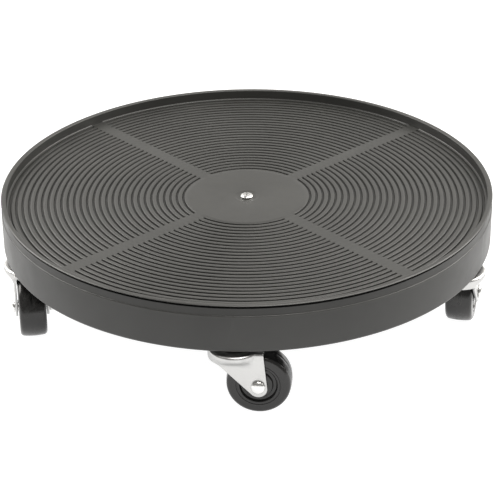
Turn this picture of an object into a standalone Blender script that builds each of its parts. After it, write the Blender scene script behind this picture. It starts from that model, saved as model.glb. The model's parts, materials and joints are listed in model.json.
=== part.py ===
"""A round platform dolly: one moulded deck with a raised rim, on five swivel casters.

+Z is up. The origin is on the floor, under the centre of the deck. Caster 1 stands at -Y, and the
others follow it counter-clockwise, seen from above.
"""

import math

import bmesh
import bpy
from mathutils import Matrix, Vector

MM = 0.001
GAP = 0.3 * MM  # left between pieces that touch or seat on each other
EMBED = 2.0 * MM  # how far a joined shape reaches into its neighbour
CUT = 1.0 * MM  # how far a cutter reaches past what it cuts

# Deck
DECK_RADIUS = 203.2 * MM
RIM_HEIGHT = 8.3 * MM  # above the load surface
RIM_WALL = 4.3 * MM
RIM_ROUND = 1.1 * MM
SKIRT_DROP = 32.6 * MM  # below the load surface
LIP_BEAD = 1.7 * MM  # height of the bead around the rim's outer edge
COLLAR_SETBACK = 0.7 * MM  # the band between the bead and the step is this much smaller in radius
COLLAR_DROP = 1.2 * MM  # the step's place below the load surface
SKIRT_ROUND = 2.8 * MM
FLOOR_THICKNESS = 4.0 * MM
DISH_RADIUS = 11.0 * MM  # around the centre screw
DISH_DEPTH = 0.6 * MM
HUB_RADIUS = 9.0 * MM
HUB_DROP = 7.0 * MM

# Stiffening ribs under the deck
RIB_THICKNESS = 2.6 * MM
RIB_DROP = 13.0 * MM
RING_RIB_RADIUS = 108.0 * MM
RING_RIB_DROP = 12.0 * MM
HUB_RING_RADIUS = 26.0 * MM
HUB_RING_DROP = 14.0 * MM

# Casters
CASTER_COUNT = 5
CASTER_TURNS = (-2.0, 8.0, 2.0, -3.0, -7.5)  # degrees from the tangent at rest, one for each caster
TRAIL = 18.8 * MM
WHEEL_RADIUS = 25.4 * MM
WHEEL_WIDTH = 22.0 * MM
WHEEL_SHOULDER = 3.4 * MM
WEB_OUTER_RADIUS = 17.2 * MM
WEB_INNER_RADIUS = 10.6 * MM
WEB_RECESS = 2.2 * MM
WEB_DRAFT = 0.7 * MM  # slope of the recess's sides over its depth
WHEEL_HEADROOM = 1.7 * MM  # from the top of the wheel to the fork's crown
WHEEL_SIDE_PLAY = 0.9 * MM

FORK_THICKNESS = 1.8 * MM
CROWN_RADIUS = 21.0 * MM
CROWN_TAIL = 23.0 * MM  # from the swivel axis back to the crown's straight end
CROWN_LIP = 8.0 * MM  # the turned-down front of the crown
LIP_OVERLAP = 4.0  # degrees, how far the turned-down front reaches round past a leg's front edge
LEG_TIP_RADIUS = 7.0 * MM
LEG_TIP_DROP = 2.0 * MM  # centre of the leg's round end, below the axle
LEG_SLOPE = 45.0  # degrees, the leg's front edge

STEM_RADIUS = 4.0 * MM
STEM_LENGTH = 20.0 * MM  # inside the boss
STEM_PLAY = 0.5 * MM  # in the crown's hole
STEM_FLANGE = 4.0 * MM  # how far the flange stands out from the stem
STEM_FLANGE_THICKNESS = 1.3 * MM
STEM_RIVET = 1.6 * MM  # how far the riveted end stands out from the stem
STEM_RIVET_HEIGHT = 1.3 * MM
STEM_RIVET_CHAMFER = 0.8 * MM
STEM_CHAMFER = 0.6 * MM
INSERT_WALL = 1.9 * MM
INSERT_LENGTH = 18.0 * MM
BOSS_BORDER = 3.5 * MM  # how much the boss is larger in radius than the cup below it
BOSS_RECESS = 1.9 * MM  # from the skirt's lower edge up to the boss's face
CUP_THICKNESS = 1.1 * MM
CUP_CLEARANCE = 0.8 * MM  # from the cup's edge to the crown
CUP_SIDE_CLEARANCE = 0.7 * MM  # from the cup to the skirt's inner wall
BALL_RADIUS = 1.4 * MM
BALL_INNER_PLAY = 0.6 * MM  # from the stem's flange to the balls
BALL_OUTER_PLAY = 0.5 * MM  # from the balls to the cup's wall
WASHER_WIDTH = 6.0 * MM
WASHER_THICKNESS = 1.0 * MM

AXLE_RADIUS = 3.0 * MM
AXLE_HEAD = 2.5 * MM  # how far the head stands out from the shank
AXLE_HEAD_HEIGHT = 3.2 * MM
AXLE_HEAD_CHAMFER = 1.0 * MM
SLEEVE_WALL = 1.5 * MM
NUT_WALL = 2.4 * MM  # from the thread to the flats
NUT_HEIGHT = 5.0 * MM
THREAD_END = 1.0 * MM  # of thread past a nut

# Screw in the middle of the deck
SCREW_RADIUS = 3.0 * MM
SCREW_HEAD = 2.4 * MM
SCREW_HEAD_HEIGHT = 2.2 * MM
SCREW_HEAD_CHAMFER = 1.1 * MM
SCREW_WASHER_WIDTH = 3.2 * MM
SCREW_WASHER_THICKNESS = 1.2 * MM

# Facets on round pieces
DECK_STEPS = 60
WHEEL_STEPS = 24
CROWN_STEPS = 24
BOSS_STEPS = 16
RIB_STEPS = 30
SMALL_STEPS = 12
LIP_STEPS = 6
END_STEPS = 4

# Heights that follow from the sizes above
CROWN_UNDER = 2 * WHEEL_RADIUS + WHEEL_HEADROOM
CROWN_TOP = CROWN_UNDER + FORK_THICKNESS
BALL_HEIGHT = CROWN_TOP + GAP + BALL_RADIUS
CUP_INSIDE = BALL_HEIGHT + BALL_RADIUS + GAP
MOUNT_HEIGHT = CUP_INSIDE + CUP_THICKNESS + GAP
SKIRT_BOTTOM = MOUNT_HEIGHT - BOSS_RECESS
LOAD_HEIGHT = SKIRT_BOTTOM + SKIRT_DROP
RIM_TOP = LOAD_HEIGHT + RIM_HEIGHT
FLOOR_UNDER = LOAD_HEIGHT - FLOOR_THICKNESS
HUB_UNDER = LOAD_HEIGHT - HUB_DROP

# Radii and widths that follow from the sizes above
INNER_RADIUS = DECK_RADIUS - RIM_WALL
BALL_CIRCLE = STEM_RADIUS + STEM_FLANGE + BALL_INNER_PLAY + BALL_RADIUS
CUP_RADIUS = BALL_CIRCLE + BALL_RADIUS + BALL_OUTER_PLAY + CUP_THICKNESS
BOSS_RADIUS = CUP_RADIUS + BOSS_BORDER
CASTER_CIRCLE = INNER_RADIUS - CUP_SIDE_CLEARANCE - CUP_RADIUS
LEG_INNER = WHEEL_WIDTH / 2 + WHEEL_SIDE_PLAY
LEG_OUTER = LEG_INNER + FORK_THICKNESS
INSERT_RADIUS = STEM_RADIUS + GAP + INSERT_WALL
SLEEVE_RADIUS = AXLE_RADIUS + GAP + SLEEVE_WALL

MATERIALS = {
    "deck_plastic": ((0.060, 0.060, 0.057), 0.55, 0.0),
    "wheel_plastic": ((0.020, 0.020, 0.020), 0.40, 0.0),
    "fork_zinc": ((0.64, 0.64, 0.63), 0.30, 1.0),
    "cup_steel": ((0.58, 0.58, 0.57), 0.35, 1.0),
    "ball_steel": ((0.70, 0.70, 0.70), 0.12, 1.0),
    "bolt_steel": ((0.60, 0.60, 0.59), 0.25, 1.0),
    "insert_brass": ((0.60, 0.45, 0.20), 0.35, 1.0),
}


def clear_scene():
    for obj in list(bpy.data.objects):
        bpy.data.objects.remove(obj)


def material(name):
    found = bpy.data.materials.get(name)
    if found:
        return found
    colour, roughness, metallic = MATERIALS[name]
    made = bpy.data.materials.new(name)
    made.use_nodes = True
    shader = made.node_tree.nodes["Principled BSDF"]
    shader.inputs["Base Color"].default_value = (*colour, 1.0)
    shader.inputs["Roughness"].default_value = roughness
    shader.inputs["Metallic"].default_value = metallic
    return made


def mesh_of(name, bm):
    """A mesh with its faces pointing out, shaded smooth apart from its real edges."""
    bmesh.ops.remove_doubles(bm, verts=bm.verts, dist=0.001 * MM)
    bmesh.ops.recalc_face_normals(bm, faces=bm.faces)
    mesh = bpy.data.meshes.new(name)
    bm.to_mesh(mesh)
    bm.free()
    mesh.shade_smooth()
    mesh.set_sharp_from_angle(angle=math.radians(35))
    return mesh


def turned(name, profile, steps, closed):
    """A mesh turned about Z. The profile is (radius, height) points, open where both ends lie on the axis."""
    bm = bmesh.new()
    points = [bm.verts.new((radius, 0, height)) for radius, height in profile]
    pairs = list(zip(points, points[1:]))
    if closed:
        pairs.append((points[-1], points[0]))
    edges = [bm.edges.new(pair) for pair in pairs]
    bmesh.ops.spin(
        bm,
        geom=points + edges,
        cent=(0, 0, 0),
        axis=(0, 0, 1),
        angle=math.tau,
        steps=steps,
        use_merge=True,
    )
    return mesh_of(name, bm)


def ring(name, inner, outer, low, high, steps=SMALL_STEPS):
    return turned(name, [(inner, low), (outer, low), (outer, high), (inner, high)], steps, True)


def rod(name, radius, low, high, steps=SMALL_STEPS):
    return turned(name, [(0, low), (radius, low), (radius, high), (0, high)], steps, False)


def prism(name, outline, low, high):
    """A mesh that fills an outline of (x, y) points from one height to the other."""
    bm = bmesh.new()
    face = bm.faces.new([bm.verts.new((x, y, low)) for x, y in outline])
    raised = bmesh.ops.extrude_face_region(bm, geom=[face])["geom"]
    moved = [item for item in raised if isinstance(item, bmesh.types.BMVert)]
    bmesh.ops.translate(bm, verts=moved, vec=(0, 0, high - low))
    return mesh_of(name, bm)


def upright(mesh):
    """Turns a mesh that lies in XY so that its y points up and its z points along -Y."""
    mesh.transform(Matrix.Rotation(math.pi / 2, 4, "X"))
    return mesh


def arc(centre, radius, first, last, steps):
    """Points on a circle, from one angle to the other in degrees."""
    angles = [math.radians(first + (last - first) * i / steps) for i in range(steps + 1)]
    return [(centre[0] + radius * math.cos(a), centre[1] + radius * math.sin(a)) for a in angles]


def place(name, mesh, material_name, matrix=None):
    obj = bpy.data.objects.new(name, mesh)
    bpy.context.scene.collection.objects.link(obj)
    if not mesh.materials:
        mesh.materials.append(material(material_name))
    obj.matrix_world = matrix or Matrix.Identity(4)
    return obj


def helpers(name, meshes):
    """A collection of shapes that a Boolean joins to, or cuts from, a piece."""
    group = bpy.data.collections.new(name)
    bpy.context.scene.collection.children.link(group)
    group.hide_render = True
    for mesh in meshes:
        obj = bpy.data.objects.new(mesh.name, mesh)
        group.objects.link(obj)
        obj.hide_render = True
        obj.display_type = "WIRE"
    return group


def add_boolean(obj, operation, group):
    modifier = obj.modifiers.new(group.name, "BOOLEAN")
    modifier.operation = operation
    modifier.operand_type = "COLLECTION"
    modifier.collection = group


def baked(name, mesh, added, cut):
    """The mesh joined with the added shapes, less the cut ones."""
    obj = bpy.data.objects.new(name, mesh)
    bpy.context.scene.collection.objects.link(obj)
    groups = [helpers(name + "_added", added), helpers(name + "_cut", cut)]
    add_boolean(obj, "UNION", groups[0])
    add_boolean(obj, "DIFFERENCE", groups[1])
    graph = bpy.context.evaluated_depsgraph_get()
    result = bpy.data.meshes.new_from_object(obj.evaluated_get(graph))
    result.name = name
    for group in groups:
        for helper in list(group.objects):
            bpy.data.objects.remove(helper)
        bpy.data.collections.remove(group)
    bpy.data.objects.remove(obj)
    return result


def caster_angle(index):
    return -math.pi / 2 + math.tau * index / CASTER_COUNT


def swivel_point(index):
    angle = caster_angle(index)
    return Vector((math.cos(angle), math.sin(angle), 0)) * CASTER_CIRCLE


def caster_matrix(index):
    """From a caster's own frame, with the swivel axis on Z and the wheel trailing along +X."""
    heading = caster_angle(index) + math.pi / 2 + math.radians(CASTER_TURNS[index])
    return Matrix.Translation(swivel_point(index)) @ Matrix.Rotation(heading, 4, "Z")


def boss_mesh(index):
    """The boss that takes one caster's stem, with its blind bore open below."""
    bore = INSERT_RADIUS + GAP
    bore_top = MOUNT_HEIGHT + STEM_LENGTH + 5 * GAP
    profile = [
        (0, FLOOR_UNDER + EMBED),
        (BOSS_RADIUS, FLOOR_UNDER + EMBED),
        (BOSS_RADIUS, MOUNT_HEIGHT),
        (bore, MOUNT_HEIGHT),
        (bore, bore_top),
        (0, bore_top),
    ]
    mesh = turned(f"boss_{index + 1}", profile, BOSS_STEPS, False)
    mesh.transform(Matrix.Translation(swivel_point(index)))
    return mesh


def radial_rib(name, angle, start, end):
    half = RIB_THICKNESS / 2
    outline = [(start, -half), (end, -half), (end, half), (start, half)]
    mesh = prism(name, outline, LOAD_HEIGHT - RIB_DROP, FLOOR_UNDER + EMBED)
    mesh.transform(Matrix.Rotation(angle, 4, "Z"))
    return mesh


def deck_profile():
    collar = DECK_RADIUS - COLLAR_SETBACK
    bead_under = RIM_TOP - LIP_BEAD
    step = LOAD_HEIGHT - COLLAR_DROP
    hole = SCREW_RADIUS + GAP
    return [
        (hole, LOAD_HEIGHT - DISH_DEPTH),
        (DISH_RADIUS - DISH_DEPTH, LOAD_HEIGHT - DISH_DEPTH),
        (DISH_RADIUS, LOAD_HEIGHT),
        (INNER_RADIUS - RIM_ROUND, LOAD_HEIGHT),
        (INNER_RADIUS, LOAD_HEIGHT + RIM_ROUND),
        (INNER_RADIUS, RIM_TOP - RIM_ROUND),
        (INNER_RADIUS + RIM_ROUND, RIM_TOP),
        (DECK_RADIUS - RIM_ROUND, RIM_TOP),
        (DECK_RADIUS, RIM_TOP - RIM_ROUND),
        (DECK_RADIUS, bead_under),
        (collar, bead_under - COLLAR_SETBACK),
        (collar, step),
        (DECK_RADIUS, step - COLLAR_SETBACK),
        *arc((DECK_RADIUS - SKIRT_ROUND, SKIRT_BOTTOM + SKIRT_ROUND), SKIRT_ROUND, 0, -90, 2),
        (INNER_RADIUS, SKIRT_BOTTOM),
        (INNER_RADIUS, FLOOR_UNDER),
        (HUB_RADIUS, FLOOR_UNDER),
        (HUB_RADIUS, HUB_UNDER),
        (hole, HUB_UNDER),
    ]


def make_deck():
    """The moulded deck, with its skirt, bosses and ribs as one body."""
    deck = place("deck", turned("deck", deck_profile(), DECK_STEPS, True), "deck_plastic")
    half = RIB_THICKNESS / 2
    ring_top = FLOOR_UNDER + EMBED
    into_skirt = INNER_RADIUS + EMBED
    into_boss = CASTER_CIRCLE - BOSS_RADIUS + EMBED
    added = [boss_mesh(index) for index in range(CASTER_COUNT)]
    for index in range(CASTER_COUNT):
        angle = caster_angle(index)
        between = angle + math.pi / CASTER_COUNT
        added.append(radial_rib(f"boss_rib_{index}", angle, HUB_RING_RADIUS, into_boss))
        added.append(radial_rib(f"long_rib_{index}", between, HUB_RING_RADIUS, into_skirt))
    for name, radius, drop in (
        ("ring_rib", RING_RIB_RADIUS, RING_RIB_DROP),
        ("hub_ring", HUB_RING_RADIUS, HUB_RING_DROP),
    ):
        added.append(ring(name, radius - half, radius + half, LOAD_HEIGHT - drop, ring_top, RIB_STEPS))
    add_boolean(deck, "UNION", helpers("under_deck", added))


def make_centre_screw():
    """The pan-head screw in the middle of the deck, with its washer and nut below."""
    hole = SCREW_RADIUS + GAP
    seat = LOAD_HEIGHT - DISH_DEPTH + GAP
    washer_top = HUB_UNDER - GAP
    washer_under = washer_top - SCREW_WASHER_THICKNESS
    nut_top = washer_under - GAP
    head = SCREW_RADIUS + SCREW_HEAD
    profile = [
        (0, nut_top - NUT_HEIGHT - THREAD_END),
        (SCREW_RADIUS, nut_top - NUT_HEIGHT - THREAD_END),
        (SCREW_RADIUS, seat),
        (head, seat),
        (head, seat + SCREW_HEAD_HEIGHT - SCREW_HEAD_CHAMFER),
        (head - 2 * SCREW_HEAD_CHAMFER, seat + SCREW_HEAD_HEIGHT),
        (0, seat + SCREW_HEAD_HEIGHT),
    ]
    washer = ring("centre_washer", hole, hole + SCREW_WASHER_WIDTH, washer_under, washer_top)
    place("centre_screw", turned("centre_screw", profile, SMALL_STEPS, False), "bolt_steel")
    place("centre_washer", washer, "bolt_steel")
    place("centre_nut", nut_mesh("centre_nut", SCREW_RADIUS, nut_top - NUT_HEIGHT, nut_top), "bolt_steel")


def nut_mesh(name, thread_radius, low, high):
    """A hexagon nut about Z, its flats NUT_WALL outside the thread."""
    corner = (thread_radius + NUT_WALL) / math.cos(math.pi / 6)
    outer = prism(name, arc((0, 0), corner, 0, 300, 5), low, high)
    hole = rod(name + "_hole", thread_radius + GAP, low - CUT, high + CUT)
    return baked(name, outer, [], [hole])


def wheel_mesh():
    """The wheel about Z, centred on its own middle."""
    half = WHEEL_WIDTH / 2
    shoulder_centre = (WHEEL_RADIUS - WHEEL_SHOULDER, half - WHEEL_SHOULDER)
    outer_side = [
        *arc(shoulder_centre, WHEEL_SHOULDER, 0, 90, 2),
        (WEB_OUTER_RADIUS, half),
        (WEB_OUTER_RADIUS - WEB_DRAFT, half - WEB_RECESS),
        (WEB_INNER_RADIUS + WEB_DRAFT, half - WEB_RECESS),
        (WEB_INNER_RADIUS, half),
        (SLEEVE_RADIUS + GAP, half),
    ]
    other_side = [(radius, -height) for radius, height in reversed(outer_side)]
    return turned("wheel", outer_side + other_side, WHEEL_STEPS, True)


def leg_outline():
    """A fork leg's side view, as (distance along the trail, height) points."""
    tip = (TRAIL, WHEEL_RADIUS - LEG_TIP_DROP)
    top = CROWN_TOP - FORK_THICKNESS / 2
    into_lip = FORK_THICKNESS / 3
    front = -math.sqrt(CROWN_RADIUS**2 - LEG_OUTER**2) - into_lip
    lip_under = CROWN_TOP - CROWN_LIP
    slope = math.radians(LEG_SLOPE)
    round_end = arc(tip, LEG_TIP_RADIUS, 0, -90 - LEG_SLOPE, END_STEPS)
    last_x, last_z = round_end[-1]
    knee_x = last_x - (lip_under - FORK_THICKNESS * 2 - last_z) / math.tan(slope)
    return [
        (front, top),
        (CROWN_TAIL, top),
        *round_end,
        (knee_x, lip_under - FORK_THICKNESS * 2),
        (front, lip_under + FORK_THICKNESS),
    ]


def fork_mesh():
    """The pressed fork: a round crown with a straight tail, a turned-down front and two legs."""
    thickness = FORK_THICKNESS
    shy = thickness / 10  # keeps the faces of joined shapes out of one plane
    crown = rod("fork", CROWN_RADIUS, CROWN_UNDER, CROWN_TOP, CROWN_STEPS)
    side = LEG_OUTER - thickness / 2
    tail = prism(
        "tail",
        [(0, -side), (CROWN_TAIL - thickness / 2, -side), (CROWN_TAIL - thickness / 2, side), (0, side)],
        CROWN_UNDER + shy,
        CROWN_TOP - shy,
    )
    legs = []
    for name, near in (("leg_left", LEG_INNER), ("leg_right", -LEG_OUTER)):
        leg = upright(prism(name, leg_outline(), 0, thickness))
        leg.transform(Matrix.Translation((0, near + thickness, 0)))
        legs.append(leg)
    leg_front = 180 - math.degrees(math.asin(LEG_OUTER / CROWN_RADIUS))
    reach = leg_front - LIP_OVERLAP
    band = arc((0, 0), CROWN_RADIUS - shy, reach, 360 - reach, LIP_STEPS)
    band += arc((0, 0), CROWN_RADIUS - thickness, 360 - reach, reach, LIP_STEPS)
    lip = prism("lip", band, CROWN_TOP - CROWN_LIP, CROWN_TOP - thickness / 2)
    stem_hole = rod("stem_hole", STEM_RADIUS + STEM_PLAY, CROWN_UNDER - CUT, CROWN_TOP + CUT)
    axle_hole = upright(rod("axle_hole", AXLE_RADIUS + GAP, -LEG_OUTER - CUT, LEG_OUTER + CUT))
    axle_hole.transform(Matrix.Translation((TRAIL, 0, WHEEL_RADIUS)))
    return baked("fork", crown, [tail, *legs, lip], [stem_hole, axle_hole])


def stem_mesh():
    """The threaded stem, with the flange that holds the cup and the riveted end below the fork."""
    rivet_top = CROWN_UNDER - 2 * GAP - WASHER_THICKNESS
    flange_top = CUP_INSIDE - GAP
    rivet = STEM_RADIUS + STEM_RIVET
    flange = STEM_RADIUS + STEM_FLANGE
    top = MOUNT_HEIGHT + STEM_LENGTH
    profile = [
        (0, rivet_top - STEM_RIVET_HEIGHT),
        (rivet - STEM_RIVET_CHAMFER, rivet_top - STEM_RIVET_HEIGHT),
        (rivet, rivet_top - STEM_RIVET_HEIGHT + STEM_RIVET_CHAMFER),
        (rivet, rivet_top),
        (STEM_RADIUS, rivet_top),
        (STEM_RADIUS, flange_top - STEM_FLANGE_THICKNESS),
        (flange, flange_top - STEM_FLANGE_THICKNESS),
        (flange, flange_top),
        (STEM_RADIUS, flange_top),
        (STEM_RADIUS, top - STEM_CHAMFER),
        (STEM_RADIUS - STEM_CHAMFER, top),
        (0, top),
    ]
    return turned("stem", profile, SMALL_STEPS, False)


def cup_mesh():
    """The upper ball cup: a pressed dish, open below."""
    top = CUP_INSIDE + CUP_THICKNESS
    edge = CROWN_TOP + CUP_CLEARANCE
    profile = [
        (STEM_RADIUS + GAP, top),
        (CUP_RADIUS - CUP_THICKNESS, top),
        (CUP_RADIUS, top - CUP_THICKNESS),
        (CUP_RADIUS, edge),
        (CUP_RADIUS - CUP_THICKNESS, edge),
        (CUP_RADIUS - CUP_THICKNESS, CUP_INSIDE),
        (STEM_RADIUS + GAP, CUP_INSIDE),
    ]
    return turned("top_cup", profile, CROWN_STEPS, True)


def axle_bolt_mesh():
    """The axle bolt along -Y, with its round head on that side."""
    seat = LEG_OUTER + GAP
    head = AXLE_RADIUS + AXLE_HEAD
    end = -(seat + NUT_HEIGHT + THREAD_END)
    profile = [
        (0, end),
        (AXLE_RADIUS, end),
        (AXLE_RADIUS, seat),
        (head, seat),
        (head, seat + AXLE_HEAD_HEIGHT - AXLE_HEAD_CHAMFER),
        (head - AXLE_HEAD_CHAMFER, seat + AXLE_HEAD_HEIGHT),
        (0, seat + AXLE_HEAD_HEIGHT),
    ]
    return upright(turned("axle_bolt", profile, SMALL_STEPS, False))


def stem_meshes():
    """The meshes that stand about the swivel axis, with their materials, in the caster's own frame."""
    washer_top = CROWN_UNDER - GAP
    hole = STEM_RADIUS + GAP
    ball_row = arc((BALL_CIRCLE, BALL_HEIGHT), BALL_RADIUS, 0, 300, 5)
    insert_low = MOUNT_HEIGHT + 2 * GAP
    insert = ring("threaded_insert", hole, INSERT_RADIUS, insert_low, insert_low + INSERT_LENGTH)
    washer = ring("thrust_washer", hole, hole + WASHER_WIDTH, washer_top - WASHER_THICKNESS, washer_top)
    return {
        "threaded_insert": (insert, "insert_brass"),
        "stem": (stem_mesh(), "bolt_steel"),
        "top_cup": (cup_mesh(), "cup_steel"),
        "ball_ring": (turned("ball_ring", ball_row, BOSS_STEPS, True), "ball_steel"),
        "fork": (fork_mesh(), "fork_zinc"),
        "thrust_washer": (washer, "bolt_steel"),
    }


def axle_meshes():
    """The meshes that stand about the axle, with their materials, in a frame centred on the axle."""
    sleeve_half = LEG_INNER - GAP
    nut_seat = LEG_OUTER + GAP
    sleeve = ring("axle_sleeve", AXLE_RADIUS + GAP, SLEEVE_RADIUS, -sleeve_half, sleeve_half)
    nut = nut_mesh("axle_nut", AXLE_RADIUS, -nut_seat - NUT_HEIGHT, -nut_seat)
    return {
        "wheel": (upright(wheel_mesh()), "wheel_plastic"),
        "axle_sleeve": (upright(sleeve), "bolt_steel"),
        "axle_bolt": (axle_bolt_mesh(), "bolt_steel"),
        "axle_nut": (upright(nut), "bolt_steel"),
    }


def make_casters():
    """Five casters that share their meshes, each piece with its origin on the axis that it turns about."""
    on_axle = Matrix.Translation((TRAIL, 0, WHEEL_RADIUS))
    groups = ((stem_meshes(), Matrix.Identity(4)), (axle_meshes(), on_axle))
    for index in range(CASTER_COUNT):
        for meshes, own_place in groups:
            matrix = caster_matrix(index) @ own_place
            for name, (mesh, material_name) in meshes.items():
                place(f"{name}_{index + 1}", mesh, material_name, matrix)


def main():
    clear_scene()
    make_deck()
    make_centre_screw()
    make_casters()


main()
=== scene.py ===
"""Finished pieces of a round rolling platform: a grooved plastic deck on five swivel casters.

Each operator makes one piece, or one group of like pieces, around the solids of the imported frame.
Lengths are in metres. A caster's own frame has its swivel axis on Z and its wheel trailing along +X.
"""

import json
import math
from functools import partial

import bmesh
import bpy
from bpy.props import FloatProperty, FloatVectorProperty, IntProperty, PointerProperty
from mathutils import Matrix, Vector

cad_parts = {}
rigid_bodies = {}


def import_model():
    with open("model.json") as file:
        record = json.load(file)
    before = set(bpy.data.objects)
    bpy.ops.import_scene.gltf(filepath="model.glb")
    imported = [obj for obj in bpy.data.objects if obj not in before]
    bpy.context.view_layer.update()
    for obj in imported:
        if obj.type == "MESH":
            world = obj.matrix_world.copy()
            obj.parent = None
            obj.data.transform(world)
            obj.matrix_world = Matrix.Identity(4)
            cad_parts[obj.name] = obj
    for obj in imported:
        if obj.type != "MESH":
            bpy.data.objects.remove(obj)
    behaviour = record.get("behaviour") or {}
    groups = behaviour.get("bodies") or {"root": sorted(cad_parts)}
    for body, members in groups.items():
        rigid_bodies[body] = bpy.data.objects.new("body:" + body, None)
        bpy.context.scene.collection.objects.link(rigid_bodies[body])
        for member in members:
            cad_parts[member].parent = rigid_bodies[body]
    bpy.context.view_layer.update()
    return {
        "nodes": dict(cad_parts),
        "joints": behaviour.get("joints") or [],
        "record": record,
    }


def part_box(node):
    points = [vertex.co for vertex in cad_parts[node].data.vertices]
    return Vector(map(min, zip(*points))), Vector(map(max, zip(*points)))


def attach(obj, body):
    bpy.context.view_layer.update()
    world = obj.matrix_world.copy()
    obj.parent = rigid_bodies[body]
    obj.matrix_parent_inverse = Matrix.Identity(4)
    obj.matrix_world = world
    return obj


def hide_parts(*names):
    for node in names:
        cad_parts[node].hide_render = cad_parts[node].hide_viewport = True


bl_info = {
    "name": "Round Platform Dolly",
    "version": (1, 0, 0),
    "blender": (4, 5, 0),
    "location": "View3D > Sidebar > Dolly",
    "description": "Makes the finished pieces of a round rolling platform around its solids",
    "category": "Object",
}

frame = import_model()

MM = 0.001
JOINTS = {joint["name"]: joint for joint in frame["joints"]}
CASTER_NUMBERS = [name.split("_")[1] for name in JOINTS if name.startswith("swivel_")]


def low(node):
    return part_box(node)[0]


def high(node):
    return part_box(node)[1]


def span(node, axis):
    """A node's size along X, Y or Z, as axis 0, 1 or 2."""
    return high(node)[axis] - low(node)[axis]


def half_width(node):
    """The radius of an upright round node."""
    return span(node, 0) / 2


FIRST_PIVOT = Vector(JOINTS["swivel_1"]["pos_m"])
FIRST_AXLE = Vector(JOINTS["roll_1"]["pos_m"])

# Heights and radii read from the frame
LOAD_FACE = frame["record"]["mounts"][0]["pos_m"][2]
DECK_RADIUS = high("deck").x
RIM_TOP = high("deck").z
SKIRT_BOTTOM = low("deck").z
CROWN_TOP = high("fork_1").z
WHEEL_RADIUS = high("wheel_1").z / 2
AXLE_HEIGHT = FIRST_AXLE.z
TRAIL = (FIRST_AXLE - FIRST_PIVOT).to_2d().length
CASTER_CIRCLE = FIRST_PIVOT.to_2d().length
CUP_TOP = high("top_cup_1").z
CUP_UNDER = low("top_cup_1").z
WASHER_TOP = high("thrust_washer_1").z
WASHER_UNDER = low("thrust_washer_1").z
STEM_TOP = high("stem_1").z
STEM_UNDER = low("stem_1").z
INSERT_TOP = high("threaded_insert_1").z
CUP_RADIUS = half_width("top_cup_1")
BALL_HEIGHT = (high("ball_ring_1").z + low("ball_ring_1").z) / 2
BALL_CIRCLE = half_width("ball_ring_1") - span("ball_ring_1", 2) / 2

# Clearances and stock sizes that the pieces share
GAP = 0.3 * MM
BOSS_FACE = CUP_TOP + GAP
BOSS_BORDER = 3.5 * MM  # of the boss's face around the cup
CUP_THICKNESS = 1.1 * MM
EMBED = 1.5 * MM  # how far a joined shape reaches into its neighbour
JOINED = 0.001 * MM  # points nearer than this are one point
STEM_RADIUS = 4.0 * MM
AXLE_RADIUS = 3.0 * MM
SLEEVE_RADIUS = 4.8 * MM
WHEEL_HALF_WIDTH = 11.0 * MM
WHEEL_PLAY = 0.9 * MM


# ---------------------------------------------------------------- settings


def length(name, description, default):
    return FloatProperty(name=name, description=description, default=default, min=0.0, unit="LENGTH")


def amount(name, description, default):
    return FloatProperty(name=name, description=description, default=default, min=0.0)


def colour(name, description, default):
    return FloatVectorProperty(
        name=name, description=description, default=default, size=3, min=0.0, max=1.0, subtype="COLOR"
    )


def angle(name, description, degrees):
    return FloatProperty(
        name=name, description=description, default=math.radians(degrees), subtype="ANGLE", unit="ROTATION"
    )


class DollyDeckSettings(bpy.types.PropertyGroup):
    """Sizes of the moulded deck."""

    groove_count: IntProperty(name="Grooves", description="Rings of groove", default=28, min=1)
    first_groove: length("First groove", "Radius of the innermost groove", 52.8 * MM)
    groove_pitch: length("Groove pitch", "Radius from one groove to the next", 5.318 * MM)
    groove_width: length("Groove width", "Width of a groove at the load face", 2.5 * MM)
    groove_depth: length("Groove depth", "Depth of a groove", 1.7 * MM)
    band_width: length("Band width", "Width of the four smooth bands across the grooves", 11.0 * MM)
    rim_wall: length("Rim wall", "Thickness of the rim and the skirt", 4.3 * MM)
    dish_radius: length("Dish radius", "Radius of the shallow dish around the centre screw", 11.0 * MM)
    dish_depth: length("Dish depth", "Depth of that dish", 0.6 * MM)
    floor_thickness: length("Floor thickness", "Thickness of the deck's floor", 4.0 * MM)
    bead: length("Lip bead", "Height of the bead along the rim's outer edge", 0.8 * MM)
    channel_height: length("Channel height", "Height of the channel below the bead", 1.9 * MM)
    channel_depth: length("Channel depth", "Depth of that channel from the deck's edge", 2.8 * MM)
    skirt_round: length("Skirt rounding", "Rounding of the skirt's lower outer edge", 2.6 * MM)


class DollyCasterSettings(bpy.types.PropertyGroup):
    """Sizes of the casters."""

    sheet: length("Fork sheet", "Thickness of the fork's sheet metal", 1.8 * MM)
    crown_radius: length("Crown radius", "Radius of the fork's round crown", 21.0 * MM)
    crown_tail: length("Crown tail", "From the swivel axis back to the crown's straight end", 23.0 * MM)
    lip: length("Crown lip", "Depth of the crown's turned-down front", 8.0 * MM)
    bend: length("Bend radius", "Outer radius of the bend around the crown", 2.0 * MM)
    leg_end: length("Leg end radius", "Radius of a leg's round end", 7.0 * MM)
    leg_drop: length("Leg end drop", "Centre of the leg's round end below the axle", 2.0 * MM)
    leg_slope: angle("Leg slope", "Slope of the leg's front edge", 45.0)
    shoulder: length("Wheel shoulder", "Rounding between the wheel's tread and its faces", 3.4 * MM)
    ball_radius: length("Ball radius", "Radius of a bearing ball", 1.2 * MM)


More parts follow.
